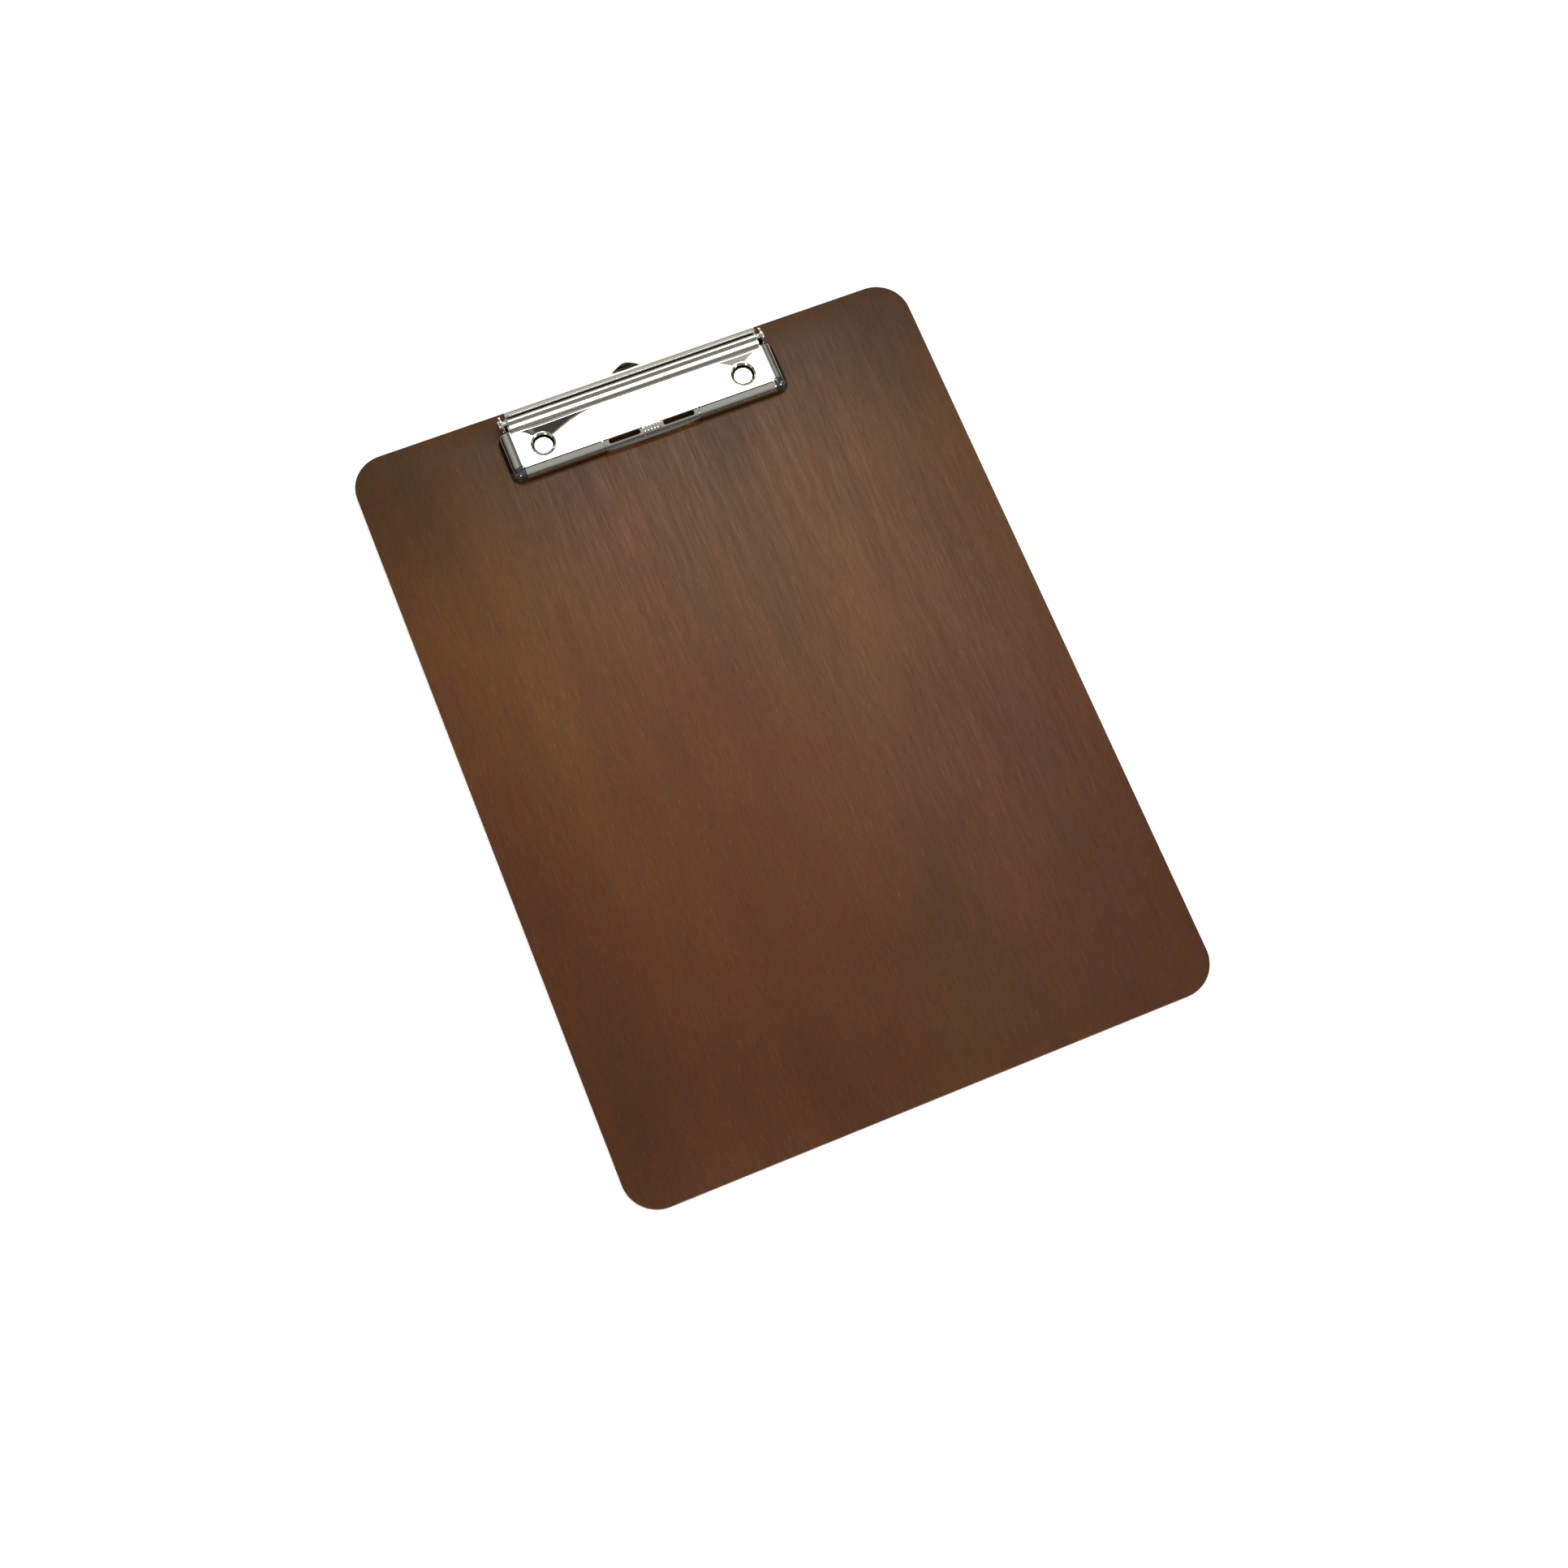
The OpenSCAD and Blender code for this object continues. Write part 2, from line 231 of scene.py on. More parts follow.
def lathe(name, profile, place, steps=64, sharp=40):
    """A turned piece: profile is [(radius, height)] in mm, and place maps (x, y, z) in mm to metres."""
    verts, faces, rings = [], [], []
    turns = [2 * math.pi * i / steps for i in range(steps)]
    for r, h in profile:
        if r < 1e-6:
            rings.append([len(verts)] * steps)
            verts.append(place(0, 0, h))
        else:
            rings.append(list(range(len(verts), len(verts) + steps)))
            verts += [place(r * math.cos(a), r * math.sin(a), h) for a in turns]
    for a, b in zip(rings, rings[1:]):
        for i in range(steps):
            k = (i + 1) % steps
            face = [a[i], a[k], b[k], b[i]]
            faces.append([p for n, p in enumerate(face) if p not in face[:n]])
    return make_object(name, verts, faces, sharp)


def tube(name, path, radius, sides=20):
    """A round wire along a path of points in metres that never runs along x, with eased ends."""
    first, last = (path[0] - path[1]).normalized(), (path[-1] - path[-2]).normalized()
    rings = [(path[0], radius * 0.75), (path[0] - first * radius * 0.25, radius)]
    rings += [(p, radius) for p in path[1:-1]]
    rings += [(path[-1] - last * radius * 0.25, radius), (path[-1], radius * 0.75)]
    verts, faces = [], []
    for i, (p, r) in enumerate(rings):
        way = (rings[min(i + 1, len(rings) - 1)][0] - rings[max(i - 1, 0)][0]).normalized()
        u = way.cross(Vector((1, 0, 0))).normalized()
        w = way.cross(u)
        verts += [p + (u * math.cos(2 * math.pi * k / sides) + w * math.sin(2 * math.pi * k / sides)) * r
                  for k in range(sides)]
    for i in range(len(rings) - 1):
        for k in range(sides):
            m = (k + 1) % sides
            faces.append([i * sides + k, i * sides + m, (i + 1) * sides + m, (i + 1) * sides + k])
    faces.append(list(range(sides)))
    faces.append([(len(rings) - 1) * sides + k for k in reversed(range(sides))])
    return make_object(name, verts, faces, 50)


def join(objs, name):
    """One object from several meshes."""
    bm = bmesh.new()
    for o in objs:
        bm.from_mesh(o.data)
    mesh = bpy.data.meshes.new(name)
    bm.to_mesh(mesh)
    bm.free()
    for o in objs:
        bpy.data.objects.remove(o)
    obj = bpy.data.objects.new(name, mesh)
    bpy.context.scene.collection.objects.link(obj)
    return obj


# ------------------------------------------------------------------- materials


class Nodes:
    """Short names for building a node tree."""

    def __init__(self, tree, coordinate):
        self.tree = tree
        tree.nodes.clear()
        self.coords = tree.nodes.new("ShaderNodeTexCoord").outputs[coordinate]

    def link(self, a, b):
        self.tree.links.new(a, b)

    def feed(self, socket, value):
        """Links an output to a socket, or sets the socket to a number or colour."""
        if hasattr(value, "is_linked"):
            self.link(value, socket)
        elif isinstance(value, tuple) and len(value) == 3 and len(socket.default_value) == 4:
            socket.default_value = (*value, 1)
        else:
            socket.default_value = value

    def node(self, kind, out=0, sockets=(), **properties):
        node = self.tree.nodes.new("ShaderNode" + kind)
        for name, value in properties.items():
            setattr(node, name, value)
        for name, value in dict(sockets).items():
            self.feed(node.inputs[name], value)
        return node.outputs[out]

    def mapped(self, scale, rotation=(0, 0, 0), location=(0, 0, 0)):
        return self.node("Mapping", sockets={
            "Vector": self.coords, "Scale": scale, "Rotation": rotation, "Location": location})

    def noise(self, scale=(1, 1, 1), detail=3, rough=0.5, distortion=0.0, **where):
        return self.node("TexNoise", sockets={
            "Vector": self.mapped(scale, **where), "Scale": 1.0, "Detail": detail, "Roughness": rough,
            "Distortion": distortion})

    def spread(self, value, low, high, to_low=0.0, to_high=1.0):
        sockets = {0: value, 1: low, 2: high, 3: to_low, 4: to_high}
        return self.node("MapRange", sockets=sockets, interpolation_type="SMOOTHSTEP")

    def math(self, operation, a, b=0.0):
        return self.node("Math", sockets={0: a, 1: b}, operation=operation)

    def product(self, *values):
        result = values[0]
        for v in values[1:]:
            result = self.math("MULTIPLY", result, v)
        return result

    def mix(self, factor, a, b, blend="MIX"):
        return self.node("Mix", 2, {0: factor, 6: a, 7: b}, data_type="RGBA", blend_type=blend)

    def bump(self, height, strength=0.2, distance=0.0001):
        return self.node("Bump", sockets={"Strength": strength, "Distance": distance, "Height": height})

    def axis(self, name):
        return self.node("SeparateXYZ", name, {0: self.coords})


class Finish(Nodes):
    """A material: its procedural node tree ends in one principled shader."""

    def __init__(self, name):
        self.material = bpy.data.materials.new(name)
        self.material.use_nodes = True
        super().__init__(self.material.node_tree, "Object")
        self.shader = self.tree.nodes.new("ShaderNodeBsdfPrincipled")
        self.link(self.shader.outputs[0], self.tree.nodes.new("ShaderNodeOutputMaterial").inputs[0])

    def set(self, **values):
        for name, value in values.items():
            self.feed(self.shader.inputs[name.replace("_", " ")], value)


def walnut(name, seed):
    """Dark stained veneer with fine straight grain along y, under a satin lacquer."""
    n = Finish(name)
    at = (seed * 3.1, seed * 1.7, seed)
    x, y = n.axis("X"), n.axis("Y")
    hue = n.math("ADD", n.noise((11, 7, 5), 3, 0.5, location=at), n.math("MULTIPLY", y, 1.2))
    base = n.mix(n.spread(hue, 0.33, 0.67), (0.0870, 0.0270, 0.0062), (0.0850, 0.0325, 0.0062))
    patch = n.spread(n.noise((19, 10, 9), 3, 0.55, 0.4, location=(seed, 5, 2)), 0.3, 0.7, 0.91, 1.09)
    bands = n.spread(n.noise((46, 1.8, 30), 4, 0.55, location=at), 0.3, 0.7, 0.94, 1.06)
    streaks = n.noise((520, 16, 90), 3, 0.6, location=at)
    fibres = n.noise((1700, 75, 300), 2, 0.6, location=at)
    flecks = n.noise((3000, 230, 400), 2, 0.5, location=at)
    tone = n.product(
        patch, bands,
        n.spread(streaks, 0.3, 0.7, 1.06, 0.94),
        n.spread(fibres, 0.3, 0.7, 1.10, 0.90),
        n.spread(flecks, 0.58, 0.74, 1.0, 1.42),
        n.spread(flecks, 0.40, 0.26, 1.0, 0.74))
    # Painted light and shade in the stain: it is lighter over the upper middle and darker towards every
    # edge.
    tone = n.product(
        tone,
        n.spread(y, -0.16, 0.06, 0.64, 1.0), n.spread(y, 0.075, 0.155, 1.0, 0.62),
        n.spread(x, -0.118, -0.070, 0.84, 1.0), n.spread(x, 0.070, 0.118, 1.0, 0.86))
    pores = n.spread(fibres, 0.50, 0.72)
    relief = n.math("SUBTRACT", n.math("MULTIPLY", flecks, 0.35), pores)
    n.set(
        Base_Color=n.mix(1.0, base, tone, "MULTIPLY"),
        Roughness=n.spread(n.math("ADD", fibres, streaks), 0.7, 1.3, 0.27, 0.36),
        Normal=n.bump(relief, 0.30, 0.00003),
        Specular_IOR_Level=0.26,
    )
    return n.material


def fibreboard(name):
    n = Finish(name)
    chips = n.noise((900, 900, 2600), 3, 0.65)
    clumps = n.noise((260, 260, 900), 2, 0.5)
    colour = n.mix(n.spread(chips, 0.35, 0.7), (0.070, 0.0330, 0.0160), (0.135, 0.0700, 0.0370))
    colour = n.mix(n.spread(clumps, 0.5, 0.75, 0.0, 0.5), colour, (0.045, 0.0200, 0.0110))
    n.set(
        Base_Color=colour,
        Roughness=n.spread(clumps, 0.3, 0.7, 0.55, 0.75),
        Normal=n.bump(chips, 0.5, 0.00005),
    )
    return n.material


def nickel(name, colour=(0.78, 0.765, 0.69), rough=(0.03, 0.08), lines=(60, 5000, 5000), shade=None):
    """Bright plate, with the fine lines of its polishing, faint smudges and small dull specks."""
    n = Finish(name)
    fine = n.noise(lines, 2, 0.6)
    smudge = n.noise((90, 70, 90), 3, 0.5)
    worn = n.spread(n.noise((1800, 1800, 1800), 1, 0.5), 0.68, 0.76, 0.0, 0.2)
    tone = n.mix(n.spread(smudge, 0.35, 0.7, 0.0, 0.6), colour, tuple(c * 0.94 for c in colour))
    tone = n.mix(worn, tone, tuple(c * 0.6 for c in colour))
    # shade multiplies painted light and shade into the plate's colour.
    if shade:
        tone = n.mix(1.0, tone, shade(n), "MULTIPLY")
    n.set(
        Base_Color=tone,
        Metallic=1.0,
        Roughness=n.spread(n.math("ADD", smudge, n.math("MULTIPLY", fine, 0.3)), 0.4, 0.95, *rough),
        Normal=n.bump(fine, 0.03, 0.00001),
    )
    return n.material


def painted_dark_rims(n):
    """Paints dark reflections and shade into the jaw's plate low down, along its side bends and in a thin
    line where each bend starts, in place of dark surroundings there.
    """
    low = n.spread(n.axis("Z"), 0.0044, 0.0068, 0.20, 1.0)
    side = n.math("ABSOLUTE", n.axis("X"))
    outer = n.spread(side, 0.0572, 0.0583, 1.0, 0.22)
    crease = n.spread(n.math("ABSOLUTE", n.math("SUBTRACT", side, 0.0550)), 0.0003, 0.0009, 0.38, 1.0)
    return n.product(low, outer, crease)


def painted_bend_shade(n):
    """Paints shade into the tab's bend, and leaves it unshaded along its arched tip."""
    x = n.axis("X")
    to_tip = n.math("ADD", n.axis("Y"), n.math("MULTIPLY", n.math("MULTIPLY", x, x), 1 / 0.024))
    short_of_tip = n.spread(to_tip, 0.1616, 0.1622, 1.0, 0.0)
    bent = n.spread(n.axis("Z"), 0.0036, 0.0044)
    return n.spread(n.math("MULTIPLY", bent, short_of_tip), 0.0, 1.0, 1.0, 0.12)


def drawn_wire(name):
    n = Finish(name)
    fine = n.noise((4000, 500, 500), 2, 0.6)
    dull = n.spread(n.noise((300, 300, 300), 3, 0.6), 0.35, 0.7)
    tone = n.mix(dull, (0.50, 0.49, 0.46), (0.32, 0.31, 0.29))
    n.set(Base_Color=tone, Metallic=1.0, Roughness=n.spread(fine, 0.3, 0.7, 0.22, 0.38),
          Normal=n.bump(fine, 0.12, 0.00002))
    return n.material


def soft_plastic(name):
    n = Finish(name)
    grain = n.noise((2400, 2400, 2400), 2, 0.6)
    cloud = n.noise((350, 350, 350), 2, 0.5)
    n.set(
        Base_Color=n.mix(n.spread(cloud, 0.3, 0.7), (0.006, 0.0062, 0.0045), (0.014, 0.0142, 0.0100)),
        Roughness=n.spread(grain, 0.3, 0.7, 0.17, 0.22),
        Normal=n.bump(grain, 0.03, 0.00001),
        Specular_IOR_Level=0.6,
        Coat_Weight=1.0,
        Coat_Roughness=0.07,
        Coat_IOR=1.8,
    )
    return n.material


VENEER = walnut("walnut_face", 1.0)
VENEER_BACK = walnut("walnut_back", 4.0)
CORE = fibreboard("sealed_fibreboard")
# The jaw's plate carries painted dark reflections low down and along its side bends.
PLATE = nickel("nickel_sheet", shade=painted_dark_rims)
BARREL = nickel("nickel_base", lines=(60, 4000, 4000))
PIN = nickel("nickel_wire", rough=(0.08, 0.16), lines=(40, 3000, 3000))
RIVET = nickel("nickel_rivet", colour=(0.82, 0.81, 0.76), rough=(0.04, 0.10), lines=(2500, 2500, 2500))
# The tab carries painted shade in its bend.
TAB = nickel("nickel_strip", colour=(0.74, 0.68, 0.50), rough=(0.08, 0.16), lines=(3000, 80, 3000),
             shade=painted_bend_shade)
WIRE = drawn_wire("spring_wire")
GRIP = soft_plastic("soft_grip")


def finish_piece(obj, material, body, slot, *nodes):
    obj.data.materials.clear()
    obj.data.materials.append(material)
    if body:
        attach(obj, body)
    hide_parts(*nodes)
    return obj


# ----------------------------------------------------------------------- board

CORNER_R, EDGE_R, SHANK_R, POCKET_R = 14, 0.3, 1.95, 4.8
rivet_lo, rivet_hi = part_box("rivet_right")
RIVET_X = (rivet_lo.x + rivet_hi.x) / 2
RIVET_Y = (rivet_lo.y + rivet_hi.y) / 2


def outline(inset, steps=20):
    """The board's rounded outline, moved in by inset mm, as (x, y) in metres."""
    corner = CORNER_R * MM
    points = []
    for cx, cy, a in ((1, 1, 0), (-1, 1, 90), (-1, -1, 180), (1, -1, 270)):
        mid = (cx * (BOARD_W / 2 - corner), cy * (BOARD_L / 2 - corner))
        points += arc(*mid, corner - inset * MM, a, a + 90, steps)
    return points


def board_layer(name, levels, hole_r):
    """A layer of the board from [(inset, z)] in mm up its edge, with a round hole at each rivet."""
    bm = bmesh.new()
    rings = [[bm.verts.new((x, y, z * MM)) for x, y in outline(inset)] for inset, z in levels]
    holes = []
    for side in (-1, 1):
        circle = arc(side * RIVET_X, RIVET_Y, hole_r * MM, 0, 360 - 7.5, 47)
        holes.append([[bm.verts.new((x, y, levels[end][1] * MM)) for x, y in circle] for end in (0, -1)])
    for a, b in [*zip(rings, rings[1:]), *holes]:
        for i in range(len(a)):
            k = (i + 1) % len(a)
            bm.faces.new((a[i], a[k], b[k], b[i]))
    for end in (0, -1):
        edges = []
        for ring in [rings[end], *[h[end] for h in holes]]:
            edges += [bm.edges.get((ring[i], ring[(i + 1) % len(ring)])) for i in range(len(ring))]
        bmesh.ops.triangle_fill(bm, edges=edges, use_beauty=True)
    bmesh.ops.recalc_face_normals(bm, faces=bm.faces)
    mesh = bpy.data.meshes.new(name)
    bm.to_mesh(mesh)
    bm.free()
    mesh.polygons.foreach_set("use_smooth", [True] * len(mesh.polygons))
    obj = bpy.data.objects.new(name, mesh)
    bpy.context.scene.collection.objects.link(obj)
    mark_sharp(obj, 35)
    return obj


def board():
    """The two veneers with eased outer edges, and the finish of the core between them."""
    face_t = (board_hi.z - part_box("front_veneer")[0].z) / MM
    board_t = BOARD_T / MM
    quarter = arc(0, 0, EDGE_R, 0, 90, 4)
    front_edge = [(EDGE_R - x, board_t - EDGE_R + y) for x, y in quarter]
    back_edge = [(EDGE_R - x, EDGE_R - y) for x, y in reversed(quarter)]
    face = board_layer("face_veneer", [(0, board_t - face_t)] + front_edge, SHANK_R)
    finish_piece(face, VENEER, "board", "veneer", "front_veneer")
    rear = board_layer("rear_veneer", back_edge + [(0, face_t)], POCKET_R)
    finish_piece(rear, VENEER_BACK, "board", "veneer_back", "back_veneer")
    core = frame["nodes"]["board_core"].data.materials
    core.clear()
    core.append(CORE)


# ------------------------------------------------------------------------- jaw

BARREL_X, PLATE_X, PLATE_Z = 53.8, 54.2, 5.4
CURL_R, CURL_IN_R, CURL_START, CURL_END = 3.4, 2.6, 3, 88
LIP_R, LIP_Y, LIP_Z, LIP_GAP = 4.2, -20.4, 1.2, 0.3
FLANGE_R, FLANGE_REAR, FLANGE_FRONT, FLANGE_TURN = 5.6, -3.8, -19.6, 84
FINGER_X, SIDE_X, FINGER_DROP, FINGER_SLOPE, FINGER_R = 20.35, 20.5, 60, 42, 1.2
ACCESS_X, ACCESS_Y, HOLE_HALF = 43.2, -13.4, 6.8
SLOT_X, SLOT_PATCH, SLOT_V = 11.7, 8.4, 3.35
NOTCH_X, NOTCH_HALF = 28.48, 1.2
RIB_PITCH, RIB_COUNT, RIB_H = 1.35, 6, 0.16

# From the top of the curl, down off it to a second bead, and out into the flat top, as (y, z).
RIDGE = [
    (0.12, 8.40), (-0.30, 8.41), (-0.85, 8.42), (-1.18, 8.40), (-1.36, 8.30), (-1.46, 8.10), (-1.53, 7.75),
    (-1.60, 7.40), (-1.70, 7.14), (-1.88, 6.98), (-2.15, 6.91), (-2.55, 6.90), (-3.10, 6.90), (-3.60, 6.88),
    (-3.82, 6.83), (-3.96, 6.70), (-4.04, 6.48), (-4.12, 6.12), (-4.22, 5.80), (-4.37, 5.58), (-4.60, 5.46),
    (-4.90, 5.415), (-5.25, 5.402), (-5.70, PLATE_Z)]
FLAT_REAR = RIDGE[-1][0]
FINGER_EDGE = (FINGER_X + SIDE_X) / 2

# The stations v down the jaw: 0-1 round the curl, 1-2 the ridge, 2-3 the flat top, 3-4 the lip's bend and
# 4-5 its end.


def soft_ramp(d, width=0.8):
    """0 below zero and d above it, with the corner between them rounded."""
    return max(0.0, d) if abs(d) > width else (d + width) ** 2 / (4 * width)


def dish(x, y):
    """How far the flat top is drawn down between each access hole and the barrel."""
    d = abs(x + 41)
    reach_left = 6.8 * math.exp(-((d / 12) ** 1.5 if x > -41 else (d / 6.2) ** 2.5))
    reach_right = 4.6 * math.exp(-(((x - ACCESS_X) / 6.5) ** 2))
    depth = 0.0
    for reach, slope in ((reach_left, 0.066), (reach_right, 0.034)):
        depth += slope * soft_ramp(min(y, -4.9) + 4.9 + reach) * smooth(reach / 0.8)
    return depth * smooth((-4.3 - y) / 1.0)


def jaw_flange(u, v):
    """The side flange: u past the edge of the flat top turns down round its radius."""
    turn = FLANGE_TURN * (abs(u) - PLATE_X) / 10
    a = math.radians(turn)
    rear = FLANGE_REAR - 1.8 * smooth((turn - 35) / 45)
    y = rear + (FLANGE_FRONT - rear) * (v - 2)
    x = PLATE_X + FLANGE_R * math.sin(a)
    return clip(math.copysign(x, u), y, PLATE_Z + FLANGE_R * (math.cos(a) - 1))


def lip_end(u, v):
    """The end of the front lip, or the finger tab turning out level in its middle."""
    if abs(u) > FINGER_EDGE:
        return clip(u, LIP_Y - LIP_R, LIP_Z - (v - 4) * (LIP_Z - LIP_GAP))
    turn = math.radians(90 + FINGER_DROP)
    y = LIP_Y + (LIP_R + FINGER_R) * math.cos(turn)
    z = LIP_Z + (LIP_R + FINGER_R) * math.sin(turn)
    a = turn - math.pi - math.radians(FINGER_DROP - FINGER_SLOPE) * min(1, (v - 4) * 2)
    reach = (0.05 + 0.95 * (1 - (u / FINGER_X) ** 2)) * max(0, v - 4.5) * 2
    slope = math.radians(FINGER_SLOPE)
    return clip(u, y + FINGER_R * math.cos(a) - reach * math.cos(slope),
                z + FINGER_R * math.sin(a) - reach * math.sin(slope))


def lip_bend(u, v):
    """The lip's bend, with a few pressed ribs in its middle."""
    drop = 90 if abs(u) > FINGER_EDGE else FINGER_DROP
    a = math.radians(90 + drop * (v - 3))
    r = LIP_R
    if abs(u) < RIB_PITCH * RIB_COUNT / 2:
        rib = 0.5 - 0.5 * math.cos(2 * math.pi * u / RIB_PITCH)
        r += RIB_H * rib * smooth((v - 3.10) / 0.08) * smooth((3.62 - v) / 0.08)
    return clip(u, LIP_Y + r * math.cos(a), LIP_Z + r * math.sin(a))


def jaw_top(u, v):
    """The ridge behind the flat top, and the top itself, sheared at its sides to meet the flanges."""
    y, z = along(RIDGE, v - 1) if v < 2 else (FLAT_REAR + (LIP_Y - FLAT_REAR) * (v - 2), PLATE_Z)
    z -= dish(u, y)
    shear = smooth((abs(u) - BARREL_X) / (PLATE_X - BARREL_X))
    if shear:
        y += shear * ((FLANGE_REAR - FLAT_REAR) * (3 - v) + (FLANGE_FRONT - LIP_Y) * (v - 2))
    return clip(u, y, z)


def jaw_point(u, v):
    if abs(u) > PLATE_X + 1e-6:
        return jaw_flange(u, v)
    if v <= 1:
        a = math.radians(CURL_START + (CURL_END - CURL_START) * v)
        return clip(u, CURL_R * math.cos(a), HZ + CURL_R * math.sin(a))
    if v <= 3:
        return jaw_top(u, v)
    return lip_bend(u, v) if v <= 4 else lip_end(u, v)


def jaw_keep(u, v):
    if abs(u) > BARREL_X:
        return 2 < v < 3
    if FINGER_X < abs(u) < SIDE_X and v > 3:
        return False
    return not (abs(abs(u) - NOTCH_X) < NOTCH_HALF and v < 0.42)


def jaw_behind(outer, inner):
    """Keeps the curl's inside round, whatever its outside does."""
    y, z = (outer.y - HINGE_Y) / MM, (outer.z - BOARD_T) / MM - HZ
    if z < 0.4:
        return inner
    share = CURL_IN_R / math.hypot(y, z)
    round_in = Vector((outer.x, HINGE_Y + y * share * MM, HINGE_Z + z * share * MM))
    return round_in.lerp(inner, smooth((-y - 3.5) / 1.3))


def flat_v(y):
    return 2 + (y - FLAT_REAR) / (LIP_Y - FLAT_REAR)


def finger_slot(angle, share, u, v):
    """A slot 13.4 mm by 2 mm along the bend, with rounded ends."""
    cu, half_u, half_v, ru, rv = math.copysign(SLOT_X, u), 6.7, 0.238, 0.8, 0.19
    su, sv = (u - cu) / SLOT_PATCH * half_u, (v - SLOT_V) / 0.35 * half_v
    du, dv = abs(su) - (half_u - ru), abs(sv) - (half_v - rv)
    if du > 0 and dv > 0:
        a = math.atan2(dv / rv, du / ru)
        su = math.copysign(half_u - ru + ru * math.cos(a), su)
        sv = math.copysign(half_v - rv + rv * math.sin(a), sv)
    return u + (cu + su - u) * share, v + (SLOT_V + sv - v) * share, 0.0


def jaw_grid():
    """The stations across the jaw and down it, closer together where it bends."""
    across = stations(
        [RIB_PITCH * i / 6 for i in range(RIB_COUNT * 3 + 1)],
        spread(4.3, 19.1, 20)[1:], [SLOT_X - SLOT_PATCH, SLOT_X + SLOT_PATCH],
        [19.6, FINGER_X, SIDE_X], spread(SIDE_X, NOTCH_X - NOTCH_HALF, 6), [NOTCH_X + NOTCH_HALF],
        spread(NOTCH_X + NOTCH_HALF, ACCESS_X - HOLE_HALF, 6),
        spread(ACCESS_X - HOLE_HALF, ACCESS_X + HOLE_HALF, 16),
        [50.8, 51.8, 52.8, 53.4, BARREL_X, PLATE_X],
        spread(PLATE_X, PLATE_X + 10, 16))
    down = stations(
        spread(0, 1, 24), spread(1, 2, 44), [flat_v(y) for y in (-6.1, ACCESS_Y + HOLE_HALF)],
        [flat_v(y) for y in spread(ACCESS_Y + HOLE_HALF, ACCESS_Y - HOLE_HALF, 22)],
        spread(3, 4, 20), spread(4, 5, 12))
    return both_ways(across), down


def jaw_holes():
    """The access holes and the finger slots. The access holes' edges are rolled down to a short neck."""
    rolled = {0.4: (6.3, 0.0), 0.46: (5.9, 0.0), 0.52: (5.55, 0.0)}
    for step, (x, y) in enumerate(arc(5.3, -0.85, 0.85, 90, 180, 8)):
        rolled[0.56 + 0.05 * step] = (x, -y)
    rolled[1.0] = (4.45, 1.1)
    shares = [0.1, 0.2, 0.3] + sorted(rolled)
    half_v = flat_v(ACCESS_Y - HOLE_HALF) - flat_v(ACCESS_Y)
    holes = []
    for side in (-1, 1):
        access = round_hole(side * ACCESS_X, ACCESS_Y, flat_v, rolled)
        holes.append((side * ACCESS_X, flat_v(ACCESS_Y), HOLE_HALF, half_v, access, shares))
        holes.append((side * SLOT_X, SLOT_V, SLOT_PATCH, 0.35, finger_slot, [0.5, 1.0]))
    return holes


def jaw():
    us, vs = jaw_grid()
    obj = sheet("jaw_sheet", us, vs, jaw_point, (0, 0, 1), jaw_keep, jaw_holes(), behind=jaw_behind)
    finish_piece(obj, PLATE, "jaw", "plated_sheet", "jaw_plate")


# ---------------------------------------------------------------- corner grips


GRIP_X, GRIP_FOOT, GRIP_SINK, GRIP_POWER = 54.0, 0.12, 0.08, 3.2


def grip_profiles():
    """The cap's section where it meets the lip, and where it meets the flange, as (out, z)."""
    step = FLANGE_FRONT - LIP_Y
    lip = [(0, PLATE_Z - GRIP_SINK)]
    lip += [(x + step, z) for x, z in arc(0, LIP_Z, LIP_R - GRIP_SINK, 90, 0, 12)]
    lip.append((LIP_R - GRIP_SINK + step, GRIP_FOOT))
    foot_a = math.degrees(math.asin((GRIP_FOOT - PLATE_Z + FLANGE_R) / (FLANGE_R - GRIP_SINK)))
    flange = arc(0.2, PLATE_Z - FLANGE_R, FLANGE_R - GRIP_SINK, 90, foot_a, 14)
    return lip, flange


def grip_cap(side, x0, turns=28, rows=22):
    """A soft cap that blends the lip's section into the flange's round the jaw's front corner."""
    lip, flange = grip_profiles()
    reach_y, reach_x = lip[-1][0], flange[-1][0]
    verts, faces = [], []
    for i in range(turns + 1):
        a = math.radians(90 * i / turns)
        share = smooth(i / turns)
        lobe = 1 - 0.055 * math.exp(-(((i / turns - 0.5) / 0.10) ** 2))
        r = (math.cos(a) ** GRIP_POWER + math.sin(a) ** GRIP_POWER) ** (-1 / GRIP_POWER) * lobe
        for k in range(rows + 1):
            t = k / rows
            d_lip, z_lip = along(lip, t)
            d_side, z_side = along(flange, t)
            d = d_lip / reach_y * (1 - share) + d_side / reach_x * share
            z = z_lip * (1 - share) + z_side * share
            bulge = 0.10 * math.sin(math.pi * min(1, t * 1.1)) * math.sin(math.pi * i / turns)
            x, y = r * math.sin(a) * d * reach_x, r * math.cos(a) * d * reach_y
            verts.append(clip(side * (x0 + x), FLANGE_FRONT - y, z + bulge))
    for i in range(turns):
        for k in range(rows):
            p = i * (rows + 1) + k
            faces.append([p, p + 1, p + rows + 2, p + rows + 1])
    # The walls against the lip and the flange, and the foot.
    heel = len(verts)
    verts.append(clip(side * x0, FLANGE_FRONT, GRIP_FOOT))
    faces.append(list(range(rows + 1)) + [heel])
    faces.append([turns * (rows + 1) + k for k in range(rows + 1)] + [heel])
    faces.append([i * (rows + 1) + rows for i in range(turns + 1)] + [heel])
    return ease_edges(make_object("cap", verts, faces), 0.18, 55)


